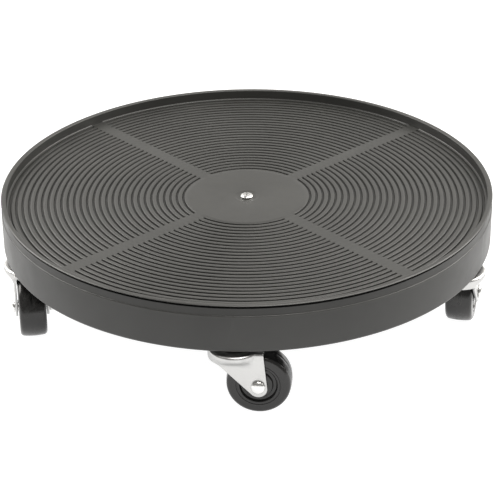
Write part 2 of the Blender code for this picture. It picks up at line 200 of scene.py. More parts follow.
class DollyFinishSettings(bpy.types.PropertyGroup):
    """Colours of the finishes."""

    deck: colour("Deck", "Moulded plastic of the deck", (0.0190, 0.0192, 0.0175))
    dust: colour("Dust", "What settles in the grooves and scuffs", (0.115, 0.112, 0.102))
    wheel: colour("Wheel", "Hard plastic of the wheels", (0.0105, 0.0103, 0.0100))
    zinc: colour("Zinc", "Plated sheet of the forks and cups", (0.52, 0.52, 0.515))
    steel: colour("Steel", "Plated steel of the fasteners", (0.74, 0.74, 0.73))
    ball: colour("Ball steel", "Polished steel of the balls", (0.78, 0.78, 0.78))
    brass: colour("Brass", "Threaded inserts", (0.62, 0.44, 0.17))
    floor: colour("Floor", "Pale studio floor", (0.25, 0.25, 0.25))


class DollyStageSettings(bpy.types.PropertyGroup):
    """Camera and lights."""

    azimuth: angle("Azimuth", "Camera's direction, from -Y towards +X", 3.3)
    elevation: angle("Elevation", "Camera's height above the horizon", 26.31)
    distance: length("Distance", "From the camera to the middle of the load face", 1.8593)
    lens: amount("Lens", "Focal length on a 36 mm sensor, in mm", 160.97)
    turn: angle("Turn", "Turn of the view to the right of the load face's middle", 0.0665)
    tilt: angle("Tilt", "Tilt of the view below the load face's middle", 1.389)
    roll: angle("Roll", "Roll of the camera", -0.7325)
    surround: amount("Surround", "Strength of the white surround", 0.3)
    floor_glow: amount("Floor glow", "Light that the floor gives back", 0.98)
    back_power: amount("Back light", "Power of the softbox behind, in W", 36.0)
    side_power: amount("Side lights", "Power of each side panel, in W", 33.0)
    key_power: amount("Key light", "Power of the softbox overhead, in W", 20.0)


SETTINGS = {
    "dolly_deck": DollyDeckSettings,
    "dolly_caster": DollyCasterSettings,
    "dolly_finish": DollyFinishSettings,
    "dolly_stage": DollyStageSettings,
}


# ---------------------------------------------------------------- outlines and meshes


def arc(centre, radius, first, last, steps):
    """Points on a circle, from one angle to the other in degrees."""
    angles = [math.radians(first + (last - first) * i / steps) for i in range(steps + 1)]
    return [(centre[0] + radius * math.cos(a), centre[1] + radius * math.sin(a)) for a in angles]


def soft_step(value):
    """0 below 0, 1 above 1, and a smooth rise between."""
    held = max(0.0, min(1.0, value))
    return held * held * (3 - 2 * held)


def dome(radius, edge, top, steps):
    """Points over a domed head, from its edge up to its middle."""
    turns = [math.pi / 2 * (1 - i / steps) for i in range(steps + 1)]
    return [(radius * math.sin(turn), edge + (top - edge) * math.cos(turn)) for turn in turns]


def between(start, end, share):
    """The point at a share of the way from one point to another."""
    return tuple(a + (b - a) * share for a, b in zip(start, end))


def bowed(start, middle, end, steps):
    """Points after the first along a curve that is pulled towards its middle point."""
    shares = [i / steps for i in range(1, steps + 1)]
    return [between(between(start, middle, t), between(middle, end, t), t) for t in shares]


def turned(profile, steps, closed=True):
    """A mesh turned about Z from (radius, height) points, open where both ends lie on the axis."""
    bm = bmesh.new()
    points = [bm.verts.new((radius, 0, height)) for radius, height in profile]
    pairs = list(zip(points, points[1:]))
    if closed:
        pairs.append((points[-1], points[0]))
    edges = [bm.edges.new(pair) for pair in pairs]
    bmesh.ops.spin(
        bm, geom=points + edges, cent=(0, 0, 0), axis=(0, 0, 1), angle=math.tau, steps=steps, use_merge=True
    )
    bmesh.ops.remove_doubles(bm, verts=bm.verts, dist=JOINED)
    bmesh.ops.recalc_face_normals(bm, faces=bm.faces)
    return bm


def underside(inner, outer, under, edge):
    """The lower points of a ring's cross-section, its two edges broken."""
    return [(inner, under + edge), (inner + edge, under), (outer - edge, under), (outer, under + edge)]


def tube(inner, outer, under, top, steps):
    """A ring with its four edges broken."""
    lower = underside(inner, outer, under, 0.2 * MM)
    upper = [(radius, under + top - height) for radius, height in reversed(lower)]
    return turned(lower + upper, steps)


def block(size, centre):
    bm = bmesh.new()
    matrix = Matrix.Translation(centre) @ Matrix.Diagonal((*size, 1))
    bmesh.ops.create_cube(bm, size=1, matrix=matrix)
    return bm


def cylinder(radius, under, top, segments):
    bm = bmesh.new()
    bmesh.ops.create_cone(
        bm, cap_ends=True, segments=segments, radius1=radius, radius2=radius, depth=top - under
    )
    bmesh.ops.translate(bm, verts=bm.verts, vec=(0, 0, (top + under) / 2))
    return bm


def rounded(bm, edges, width):
    bmesh.ops.bevel(
        bm, geom=edges, offset=width, segments=2, profile=0.5, affect="EDGES", material=-1
    )
    return bm


def hexagon(across, under, top):
    """A hexagonal prism with its edges broken."""
    bm = cylinder(across / 2 / math.cos(math.pi / 6), under, top, 6)
    return rounded(bm, bm.edges, 0.35 * MM)


def nut_shape(across, under, top, hole):
    reach = 1.0 * MM
    bore = cylinder(hole, under - reach, top + reach, 32)
    return combined("nut", hexagon(across, under, top), [bore], "DIFFERENCE")


def upright(bm):
    """Turns a piece made about Z so that its axis lies along the axle, its top towards -Y."""
    bmesh.ops.rotate(bm, verts=bm.verts, cent=(0, 0, 0), matrix=Matrix.Rotation(math.pi / 2, 3, "X"))
    bmesh.ops.translate(bm, verts=bm.verts, vec=(TRAIL, 0, AXLE_HEIGHT))
    return bm


def mesh_of(name, bm):
    mesh = bpy.data.meshes.new(name)
    bm.to_mesh(mesh)
    bm.free()
    return mesh


def combined(name, bm, others, operation):
    """The first shape united with the others, or less the others, as one mesh."""
    base = bpy.data.objects.new(name, mesh_of(name, bm))
    bpy.context.scene.collection.objects.link(base)
    group = bpy.data.collections.new(name + "_others")
    for other in others:
        group.objects.link(bpy.data.objects.new(name + "_other", mesh_of(name + "_other", other)))
    modifier = base.modifiers.new("combine", "BOOLEAN")
    modifier.operation = operation
    modifier.solver = "MANIFOLD"
    modifier.operand_type = "COLLECTION"
    modifier.collection = group
    result = applied(base)
    for other in list(group.objects):
        bpy.data.objects.remove(other)
    bpy.data.collections.remove(group)
    return result


def applied(obj):
    """The object's mesh with its modifiers applied, as a bmesh. The object is removed."""
    evaluated = obj.evaluated_get(bpy.context.evaluated_depsgraph_get())
    bm = bmesh.new()
    bm.from_mesh(evaluated.to_mesh())
    evaluated.to_mesh_clear()
    bpy.data.objects.remove(obj)
    return bm


def finished(name, bm, body, material, replaced, matrix=None, sharp=32.0):
    """Puts a shape in its place as a piece that rides on a body and stands for CAD nodes."""
    if matrix:
        bm.transform(matrix)
    mesh = mesh_of(name, bm)
    mesh.shade_smooth()
    mesh.set_sharp_from_angle(angle=math.radians(sharp))
    mesh.materials.append(material)
    obj = bpy.data.objects.new(name, mesh)
    bpy.context.scene.collection.objects.link(obj)
    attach(obj, body)
    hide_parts(*replaced)
    return obj


def caster_matrix(number):
    """From a caster's own frame to its place under the deck."""
    pivot = Vector(JOINTS["swivel_" + number]["pos_m"])
    axle = Vector(JOINTS["roll_" + number]["pos_m"])
    heading = math.atan2(axle.y - pivot.y, axle.x - pivot.x)
    return Matrix.Translation((pivot.x, pivot.y, 0)) @ Matrix.Rotation(heading, 4, "Z")


def each_caster(name, make, body, material, sharp=32.0):
    """A copy of a shape for each caster, named after the CAD node that it replaces."""
    for number in CASTER_NUMBERS:
        owner = body if body == "deck" else body + number
        node = f"{name}_{number}"
        finished("fine_" + node, make(), owner, material, [node], caster_matrix(number), sharp)


# ---------------------------------------------------------------- materials


class Finish:
    """A material built up node by node around one Principled shader."""

    def __init__(self, name):
        self.material = bpy.data.materials.new(name)
        self.material.use_nodes = True
        self.nodes = self.material.node_tree.nodes
        self.links = self.material.node_tree.links
        self.shader = self.nodes["Principled BSDF"]
        self.place = self.add("ShaderNodeTexCoord").outputs["Object"]

    def set(self, node, values):
        for key, value in values.items():
            if isinstance(value, bpy.types.NodeSocket):
                self.links.new(value, node.inputs[key])
            else:
                node.inputs[key].default_value = value
        return node

    def add(self, kind, values=None, **options):
        node = self.nodes.new(kind)
        for key, value in options.items():
            setattr(node, key, value)
        return self.set(node, values or {})

    def stretched(self, scale):
        return self.add("ShaderNodeMapping", {"Vector": self.place, "Scale": scale}).outputs["Vector"]

    def noise(self, scale, detail=2.0, roughness=0.5, distortion=0.0, vector=None):
        values = {
            "Vector": vector or self.place,
            "Scale": scale,
            "Detail": detail,
            "Roughness": roughness,
            "Distortion": distortion,
        }
        return self.add("ShaderNodeTexNoise", values).outputs["Fac"]

    def ranged(self, value, from_low, from_high, to_low, to_high):
        values = {
            "Value": value,
            "From Min": from_low,
            "From Max": from_high,
            "To Min": to_low,
            "To Max": to_high,
        }
        return self.add("ShaderNodeMapRange", values).outputs["Result"]

    def rising(self, value, start, end):
        return self.ranged(value, start, end, 0.0, 1.0)

    def falling(self, value, start, end):
        return self.ranged(value, start, end, 1.0, 0.0)

    def maths(self, operation, first, second):
        node = self.add("ShaderNodeMath", operation=operation)
        return self.set(node, {0: first, 1: second}).outputs["Value"]

    def product(self, first, *others):
        for other in others:
            first = self.maths("MULTIPLY", first, other)
        return first

    def mixed(self, factor, first, second):
        node = self.add("ShaderNodeMix", {"Factor": factor}, data_type="RGBA")
        for key, value in (("A", first), ("B", second)):
            socket = [s for s in node.inputs if s.name == key and s.type == "RGBA"][0]
            if isinstance(value, bpy.types.NodeSocket):
                self.links.new(value, socket)
            else:
                socket.default_value = (*value, 1.0)
        return [s for s in node.outputs if s.type == "RGBA"][0]

    def bumped(self, height, strength, distance, normal=None):
        values = {"Height": height, "Strength": strength, "Distance": distance}
        if normal:
            values["Normal"] = normal
        return self.add("ShaderNodeBump", values).outputs["Normal"]


# How dark the painted shade at the grooves' bottoms is, as a share of the painted shade in the channel
GROOVE_SHADE = 0.7
PLASTIC_GLOSS = {"IOR": 1.50, "Specular IOR Level": 0.5}


def shade(tint, factor):
    return tuple(channel * factor for channel in tint)


def painted_crevice_shade(made, deck, height):
    """Where shade is painted: 1 inside the channel below the lip, GROOVE_SHADE low in the grooves and 0
    elsewhere.
    """
    depth = deck.groove_depth
    flat = made.add("ShaderNodeVectorMath", {0: made.place, 1: (1.0, 1.0, 0.0)}, operation="MULTIPLY")
    length_of = made.add("ShaderNodeVectorMath", {0: flat.outputs["Vector"]}, operation="LENGTH")
    radius = length_of.outputs["Value"]
    # Painted shade low in the grooves, fading out near the rim
    grooves = made.product(
        made.falling(height, LOAD_FACE - 0.75 * depth, LOAD_FACE - 0.25 * depth),
        made.rising(height, LOAD_FACE - 1.3 * depth, LOAD_FACE - 1.1 * depth),
        made.falling(radius, DECK_RADIUS - 8.0 * MM, DECK_RADIUS - 7.0 * MM),
        GROOVE_SHADE,
    )
    # Painted shade in the channel under the lip's bead
    bead_under = RIM_TOP - deck.bead
    channel_under = bead_under - deck.channel_height
    wall = DECK_RADIUS - deck.rim_wall
    channel = made.product(
        made.falling(height, bead_under - 0.1 * MM, bead_under + 0.1 * MM),
        made.rising(height, channel_under - 0.3 * MM, channel_under),
        made.falling(radius, DECK_RADIUS - 0.5 * MM, DECK_RADIUS - 0.1 * MM),
        made.rising(radius, wall + 0.2 * MM, wall + 0.4 * MM),
    )
    return made.maths("MAXIMUM", grooves, channel)


def deck_finish(finish, deck):
    """Moulded plastic: pebble grain, mottling, painted shade in the grooves and the channel below the lip,
    a little dust and fine scuffs.
    """
    made = Finish("moulded_deck_plastic")
    mottle = made.rising(made.noise(14.0, 4.0, 0.6), 0.35, 0.65)
    tint = made.mixed(mottle, shade(finish.deck, 0.88), shade(finish.deck, 1.12))
    height = made.add("ShaderNodeSeparateXYZ", {"Vector": made.place}).outputs["Z"]
    depth = deck.groove_depth
    settled = made.product(
        made.falling(height, LOAD_FACE - depth, LOAD_FACE - 0.2 * MM),
        made.rising(height, LOAD_FACE - 2 * depth, LOAD_FACE - 1.05 * depth),
        made.noise(60.0, 3.0),
    )
    scuff = made.rising(made.noise(9.0, 8.0, 0.75, 1.6), 0.60, 0.74)
    worn = made.product(scuff, made.ranged(made.noise(5.0, 2.0), 0.45, 0.62, 0.0, 0.35))
    dusted = made.mixed(made.product(settled, 0.10), tint, finish.dust)
    coloured = made.mixed(made.product(worn, 0.30), dusted, finish.dust)
    rough = made.ranged(made.noise(35.0, 5.0, 0.65), 0.3, 0.7, 0.36, 0.47)
    rough = made.maths("ADD", rough, made.product(worn, 0.25))
    # Painted shade: the grooves and the channel below the lip are darkened to 0.35 of the deck's colour and
    # roughened
    painted_shade = painted_crevice_shade(made, deck, height)
    coloured = made.mixed(painted_shade, coloured, shade(finish.deck, 0.35))
    rough = made.maths("MAXIMUM", rough, made.product(painted_shade, 0.9))
    normal = made.bumped(made.noise(1150.0, 2.0, 0.45), 0.30, 0.06 * MM)
    normal = made.bumped(made.noise(24.0, 2.0), 0.10, 0.5 * MM, normal)
    made.set(made.shader, {"Base Color": coloured, "Roughness": rough, "Normal": normal})
    made.set(made.shader, PLASTIC_GLOSS)
    return made.material


def wheel_finish(finish):
    """Hard black plastic: satin faces, and a tread scuffed grey where it meets the floor."""
    made = Finish("black_wheel_plastic")
    tread = made.add("ShaderNodeAttribute", attribute_name="tread").outputs["Fac"]
    grain = made.noise(260.0, 4.0, 0.6)
    scuffed = made.product(made.rising(made.noise(70.0, 6.0, 0.7, 0.8), 0.48, 0.72), tread)
    tint = made.mixed(made.rising(grain, 0.3, 0.7), shade(finish.wheel, 0.85), shade(finish.wheel, 1.2))
    coloured = made.mixed(made.product(scuffed, 0.30), tint, shade(finish.dust, 0.6))
    rough = made.ranged(made.noise(90.0, 4.0), 0.3, 0.7, 0.16, 0.24)
    rough = made.maths("ADD", rough, made.product(scuffed, 0.25))
    normal = made.bumped(made.noise(1400.0, 2.0), 0.20, 0.04 * MM)
    normal = made.bumped(made.noise(120.0, 3.0), 0.12, 0.15 * MM, normal)
    made.set(made.shader, {"Base Color": coloured, "Roughness": rough, "Normal": normal})
    made.set(made.shader, PLASTIC_GLOSS)
    return made.material


def metal_finish(name, tint, rough_low, rough_high, streak_scale, grain_scale, stain):
    """Plated metal: rolling streaks, a fine grain and faint dull stains."""
    made = Finish(name)
    streak = made.noise(40.0, 5.0, 0.6, 0.0, made.stretched(streak_scale))
    cloud = made.noise(90.0, 4.0, 0.6)
    grain = made.noise(grain_scale, 2.0)
    dull = made.ranged(cloud, 0.50, 0.75, 0.0, stain)
    base = made.mixed(made.rising(streak, 0.3, 0.7), shade(tint, 0.93), shade(tint, 1.03))
    coloured = made.mixed(dull, base, shade(tint, 0.62))
    rough = made.ranged(streak, 0.3, 0.7, rough_low, rough_high)
    rough = made.maths("ADD", rough, made.product(dull, 0.3))
    normal = made.bumped(grain, 0.12, 0.02 * MM)
    normal = made.bumped(streak, 0.06, 0.05 * MM, normal)
    made.set(made.shader, {"Base Color": coloured, "Roughness": rough, "Normal": normal, "Metallic": 1.0})
    return made.material


def zinc_finish(finish):
    return metal_finish("bright_zinc_sheet", finish.zinc, 0.26, 0.36, (1.0, 1.0, 0.12), 700.0, 0.22)


def cup_finish(finish):
    return metal_finish("bright_zinc_cup", finish.zinc, 0.20, 0.30, (1.0, 1.0, 4.0), 700.0, 0.25)


def steel_finish(finish):
    return metal_finish("plated_fasteners", finish.steel, 0.18, 0.28, (1.0, 1.0, 3.0), 1200.0, 0.30)


def ball_finish(finish):
    return metal_finish("polished_balls", finish.ball, 0.06, 0.10, (1.0, 1.0, 1.0), 1500.0, 0.10)


def brass_finish(finish):
    return metal_finish("turned_brass", finish.brass, 0.24, 0.34, (1.0, 1.0, 6.0), 1200.0, 0.35)


def floor_finish(finish, stage):
    """A pale matt floor that also gives back some light of its own."""
    made = Finish("pale_floor")
    tone = made.rising(made.noise(3.0, 2.0), 0.3, 0.7)
    coloured = made.mixed(tone, shade(finish.floor, 0.995), shade(finish.floor, 1.005))
    made.set(made.shader, {"Base Color": coloured, "Roughness": 0.9, "Specular IOR Level": 0.1})
    made.set(made.shader, {"Emission Color": (1.0, 1.0, 1.0, 1.0), "Emission Strength": stage.floor_glow})
    return made.material


# ---------------------------------------------------------------- deck

DECK_QUARTER = 44  # columns of faces between two bands' middles
SCREW_RADIUS = 3.0 * MM
SCREW_HOLE = SCREW_RADIUS + GAP
COLLAR_INSET = 0.8 * MM  # from the skirt's face in to the collar's
LIP_SLANT = (0.72 * MM, 0.45 * MM)  # across and down
LIP_EDGE = 0.15 * MM
RIB_THICKNESS = 2.6 * MM
RIB_DROP = 13.0 * MM  # from the load face down to a rib's lower edge
RIB_EDGE = 0.6 * MM
BOSS_RIB_END = 16.0 * MM  # from the stem's axis out to the rib's end, inside the boss
HUB_RING_RADIUS = 26.0 * MM
HUB_RING_DROP = 14.0 * MM
RING_RIB_RADIUS = 108.0 * MM
RING_RIB_DROP = 12.0 * MM
RECESS_LENGTH = 5.2 * MM  # of the cross in the centre screw's head
RECESS_WIDTH = 1.1 * MM
RECESS_DEPTH = 1.3 * MM


def groove_points(deck, centre):
    """One groove's cross-section, with rounded edges and a flat bottom."""
    half = deck.groove_width / 2
    outer = [(1.0, 0.0), (0.86, 0.08), (0.74, 0.55), (0.50, 0.97)]
    sides = [(-across, down) for across, down in outer] + outer[::-1]
    return [(centre + half * across, LOAD_FACE - deck.groove_depth * down) for across, down in sides]


def rim_points(deck):
    """From the load face up the rim's inner wall, over the lip and down its bead and collar."""
    inner = DECK_RADIUS - deck.rim_wall
    channel = DECK_RADIUS - deck.channel_depth
    bead_under = RIM_TOP - deck.bead
    collar_top = bead_under - deck.channel_height
    slant_across, slant_down = LIP_SLANT
    under_edge = deck.bead - slant_down - LIP_EDGE
    points = arc((inner - 1.0 * MM, LOAD_FACE + 1.0 * MM), 1.0 * MM, -90, 0, 4)
    points += arc((inner + 0.8 * MM, RIM_TOP - 0.8 * MM), 0.8 * MM, 180, 90, 4)
    points += [
        (DECK_RADIUS - slant_across - 0.2 * MM, RIM_TOP),
        (DECK_RADIUS - slant_across, RIM_TOP - 0.04 * MM),
        (DECK_RADIUS - 0.08 * MM, RIM_TOP - slant_down),
        (DECK_RADIUS, RIM_TOP - slant_down - LIP_EDGE),
    ]
    points += arc((DECK_RADIUS - under_edge, bead_under + under_edge), under_edge, 0, -90, 3)[1:]
    points += [(channel, bead_under), (channel, collar_top)]
    points += arc((DECK_RADIUS - COLLAR_INSET - 0.3 * MM, collar_top - 0.3 * MM), 0.3 * MM, 90, 0, 3)
    return points


def skirt_points(deck):
    """From the collar over its step, down the skirt, round its lower edge and up inside to the floor."""
    inner = DECK_RADIUS - deck.rim_wall
    collar = DECK_RADIUS - COLLAR_INSET
    step = LOAD_FACE - 0.6 * MM
    foot = DECK_RADIUS - 0.3 * MM
    edge = deck.skirt_round
    floor_under = LOAD_FACE - deck.floor_thickness
    points = [(collar, step + COLLAR_INSET), (collar + 0.15 * MM, step + 0.45 * COLLAR_INSET)]
    points += arc((DECK_RADIUS - 0.9 * MM, step - 0.9 * MM), 0.9 * MM, 70, 0, 5)
    points += arc((foot - edge, SKIRT_BOTTOM + edge), edge, 0, -90, 7)
    points += arc((inner + 0.5 * MM, SKIRT_BOTTOM + 0.5 * MM), 0.5 * MM, -90, -180, 3)
    points += arc((inner - 1.5 * MM, floor_under - 1.5 * MM), 1.5 * MM, 0, 90, 4)
    return points


def deck_outline(deck):
    """The whole closed cross-section, from the screw hole outwards and back underneath."""
    floor_under = LOAD_FACE - deck.floor_thickness
    hub = 9.0 * MM
    hub_under = LOAD_FACE - 7.0 * MM
    dish = LOAD_FACE - deck.dish_depth
    points = [(SCREW_HOLE, dish - 0.2 * MM), (SCREW_HOLE + 0.2 * MM, dish)]
    for share in (0.0, 0.25, 0.5, 0.75, 1.0):
        rise = deck.dish_depth * soft_step(share)
        points.append((deck.dish_radius * (0.68 + 0.32 * share), dish + rise))
    points.append((deck.first_groove - deck.groove_pitch, LOAD_FACE))
    for index in range(deck.groove_count):
        points += groove_points(deck, deck.first_groove + index * deck.groove_pitch)
    points += rim_points(deck) + skirt_points(deck)
    points += [
        (hub + 1.0 * MM, floor_under),
        (hub, floor_under - 1.0 * MM),
        (hub, hub_under + 0.3 * MM),
        (hub - 0.3 * MM, hub_under),
        (SCREW_HOLE, hub_under),
    ]
    return points


def lay_bands(bm, deck):
    """Stops the grooves along four straight bands and fills the bands in level."""
    inside = deck.first_groove - deck.groove_width
    outside = deck.first_groove + (deck.groove_count - 1) * deck.groove_pitch + deck.groove_width
    step = math.tau / (4 * DECK_QUARTER)
    ramp = 0.7 * MM
    for vert in bm.verts:
        radius = math.hypot(vert.co.x, vert.co.y)
        if not inside < radius < outside or vert.co.z < LOAD_FACE - 1.5 * deck.groove_depth:
            continue
        turn = (math.atan2(vert.co.y, vert.co.x) - math.pi / 4) % math.tau
        quarter, column = divmod(round(turn / step), DECK_QUARTER)
        edge = math.asin(deck.band_width / 2 / radius)
        foot = math.asin((deck.band_width / 2 + ramp) / radius)
        column_from_end = min(column, DECK_QUARTER - column)
        if column_from_end < 2:
            vert.co.z = LOAD_FACE
        share = (column - 2) / (DECK_QUARTER - 4)
        places = {0: 0.0, 1: edge, DECK_QUARTER - 1: math.pi / 2 - edge}
        place = places.get(column, foot + (math.pi / 2 - 2 * foot) * share)
        turned_to = math.pi / 4 + quarter * math.pi / 2 + place
        vert.co.x, vert.co.y = radius * math.cos(turned_to), radius * math.sin(turned_to)


def rib(start, end, under, top, turn):
    """A straight rib out from the deck's middle, its lower edges rounded."""
    bm = block((end - start, RIB_THICKNESS, top - under), ((start + end) / 2, 0, (top + under) / 2))
    lowest = [edge for edge in bm.edges if all(vert.co.z < under + JOINED for vert in edge.verts)]
    rounded(bm, lowest, RIB_EDGE)
    bmesh.ops.rotate(bm, verts=bm.verts, cent=(0, 0, 0), matrix=Matrix.Rotation(turn, 3, "Z"))
    return bm


def boss(floor_under, place):
    """A stem boss with a flared root and a blind bore."""
    radius = CUP_RADIUS + BOSS_BORDER
    bore = half_width("threaded_insert_1") + 2 * GAP
    bore_top = STEM_TOP + 3 * GAP
    flare = 1.5 * MM
    points = [
        (0, floor_under + EMBED),
        (radius + flare, floor_under + EMBED),
        (radius + flare, floor_under),
        (radius, floor_under - flare),
        *reversed(underside(bore, radius, BOSS_FACE, 0.4 * MM)),
        (bore, bore_top),
        (0, bore_top),
    ]
    bm = turned(points, 48, closed=False)
    bmesh.ops.translate(bm, verts=bm.verts, vec=(place.x, place.y, 0))
    return bm


def ring_rib(radius, under, top):
    """A rib all the way round, its lower edges broken."""
    inner = radius - RIB_THICKNESS / 2
    outer = radius + RIB_THICKNESS / 2
    return turned([(inner, top), *underside(inner, outer, under, RIB_EDGE), (outer, top)], 96)


def under_deck(deck):
    """The ribs and bosses below the deck's floor."""
    floor_under = LOAD_FACE - deck.floor_thickness
    top = floor_under + EMBED
    rib_under = LOAD_FACE - RIB_DROP
    into_boss = CASTER_CIRCLE - BOSS_RIB_END
    into_skirt = DECK_RADIUS - deck.rim_wall + EMBED
    shapes = [
        ring_rib(RING_RIB_RADIUS, LOAD_FACE - RING_RIB_DROP, top),
        ring_rib(HUB_RING_RADIUS, LOAD_FACE - HUB_RING_DROP, top),
    ]
    for number in CASTER_NUMBERS:
        place = Vector(JOINTS["swivel_" + number]["pos_m"])
        turn = math.atan2(place.y, place.x)
        next_turn = turn + math.pi / len(CASTER_NUMBERS)
        shapes.append(boss(floor_under, place))
        shapes.append(rib(HUB_RING_RADIUS, into_boss, rib_under, top, turn))
        shapes.append(rib(HUB_RING_RADIUS, into_skirt, rib_under, top, next_turn))
    return shapes


class OBJECT_OT_dolly_deck(bpy.types.Operator):
    """Makes the moulded deck, with its grooves, bands, rim, skirt, ribs and bosses"""

    bl_idname = "object.dolly_deck"
    bl_label = "Deck"

    def execute(self, context):
        deck = context.scene.dolly_deck
        bm = turned(deck_outline(deck), 4 * DECK_QUARTER)
        bmesh.ops.rotate(bm, verts=bm.verts, cent=(0, 0, 0), matrix=Matrix.Rotation(math.pi / 4, 3, "Z"))
        lay_bands(bm, deck)
        bm = combined("deck", bm, under_deck(deck), "UNION")
        finish = deck_finish(context.scene.dolly_finish, deck)
        finished("fine_deck", bm, "deck", finish, ["deck"], sharp=38.0)
        return {"FINISHED"}


def centre_screw_shape(deck):
    """A pan-head screw with a cross recess."""
    top = high("centre_screw").z
    under = low("centre_screw").z
    seat = LOAD_FACE - deck.dish_depth + GAP
    head = 0.97 * half_width("centre_screw")
    tip = 0.4 * MM
    shank = [(0, under), (SCREW_RADIUS - tip, under), (SCREW_RADIUS, under + tip), (SCREW_RADIUS, seat)]
    bm = turned(shank + [(head, seat)] + dome(head, seat + 0.5 * MM, top, 9), 48, closed=False)
    cross = [
        block((RECESS_LENGTH, RECESS_WIDTH, 2 * RECESS_DEPTH), (0, 0, top)),
        block((RECESS_WIDTH, RECESS_LENGTH, 2 * RECESS_DEPTH), (0, 0, top)),
    ]
    return combined("centre_screw", bm, cross, "DIFFERENCE")


class OBJECT_OT_dolly_centre_screw(bpy.types.Operator):
    """Makes the pan-head screw in the deck's middle, with its washer and nut"""

    bl_idname = "object.dolly_centre_screw"
    bl_label = "Centre screw"

    def execute(self, context):
        steel = steel_finish(context.scene.dolly_finish)
        low_washer, high_washer = low("centre_washer").z, high("centre_washer").z
        low_nut, high_nut = low("centre_nut").z, high("centre_nut").z
        shapes = {
            "centre_screw": centre_screw_shape(context.scene.dolly_deck),
            "centre_washer": tube(SCREW_HOLE, half_width("centre_washer"), low_washer, high_washer, 48),
            "centre_nut": nut_shape(span("centre_nut", 1), low_nut, high_nut, SCREW_HOLE),
        }
        for node, shape in shapes.items():
            finished("fine_" + node, shape, "deck", steel, [node])
        return {"FINISHED"}


# ---------------------------------------------------------------- casters

LEG_INNER = WHEEL_HALF_WIDTH + WHEEL_PLAY
WHEEL_STEPS = 96
HEAD_RADIUS = AXLE_RADIUS + 2.5 * MM
HEAD_HEIGHT = 3.2 * MM
NUT_ACROSS = 2 * (AXLE_RADIUS + 2.4 * MM)
NUT_HEIGHT = 5.0 * MM
BALL_PITCH = 2.15  # from one ball to the next, in ball radii

# How the fork's sheet is divided
FORK_END_COLUMNS = 8
FORK_SIDE_COLUMNS = 26
FORK_FRONT_COLUMNS = 12
FORK_TAIL_COLUMNS = 10
FORK_CROWN_ROWS = 5
FORK_BEND_ROWS = 4
FORK_LEG_ROWS = 12

# Where a leg's front edge turns into the crown's lip, and where its side bulges to the crown
KNEE_RISE = 3.0 * MM
KNEE_REACH = 3.2 * MM
BULGE_START = 1.0 * MM
BULGE_DEPTH = 9.0 * MM

# The wheel's face from tread to bore: radius, and depth below the face, both in millimetres
WHEEL_FACE = (
    (17.5, 0.0),
    (17.3, 0.45),
    (16.8, 0.45),
    (16.6, 0.05),
    (15.2, 0.05),
    (14.9, 0.25),
    (14.4, 1.5),
    (13.8, 2.1),
    (12.4, 2.2),
    (11.5, 1.9),
    (11.1, 0.5),
    (10.7, 0.1),
)
TREAD_PARTING = 0.12 * MM  # depth of the moulding line round the tread's middle
TREAD_CROWN = 0.5 * MM
TREAD_FADE = 1.5 * MM  # depth over which the tread's scuffs fade out


def wheel_outline(caster):
    """One half of the wheel's closed cross-section, then its mirror."""
    half = WHEEL_HALF_WIDTH
    bore = SLEEVE_RADIUS + GAP
    shoulder = caster.shoulder
    tread_end = half - shoulder
    side = [(WHEEL_RADIUS - TREAD_PARTING, 0.0), (WHEEL_RADIUS, 0.35 * MM)]
    side += [(WHEEL_RADIUS - TREAD_CROWN * share**2, tread_end * share) for share in (0.3, 0.55, 0.8)]
    side += arc((WHEEL_RADIUS - TREAD_CROWN - shoulder, tread_end), shoulder, 0, 90, 8)
    side += [(radius * MM, half - depth * MM) for radius, depth in WHEEL_FACE]
    side += [(bore + 0.3 * MM, half), (bore, half - 0.3 * MM)]
    return side + [(radius, -height) for radius, height in reversed(side[1:])]


def wheel_shape(caster):
    """The wheel, with an attribute that says where its tread is."""
    bm = turned(wheel_outline(caster), WHEEL_STEPS)
    tread = bm.verts.layers.float.new("tread")
    for vert in bm.verts:
        radius = math.hypot(vert.co.x, vert.co.y)
        vert[tread] = max(0.0, min(1.0, (radius - WHEEL_RADIUS + TREAD_FADE) / TREAD_FADE))
    return upright(bm)


class OBJECT_OT_dolly_wheels(bpy.types.Operator):
    """Makes the five wheels"""

    bl_idname = "object.dolly_wheels"
    bl_label = "Wheels"

    def execute(self, context):
        caster = context.scene.dolly_caster
        finish = wheel_finish(context.scene.dolly_finish)
        each_caster("wheel", partial(wheel_shape, caster), "caster_wheel_", finish)
        return {"FINISHED"}


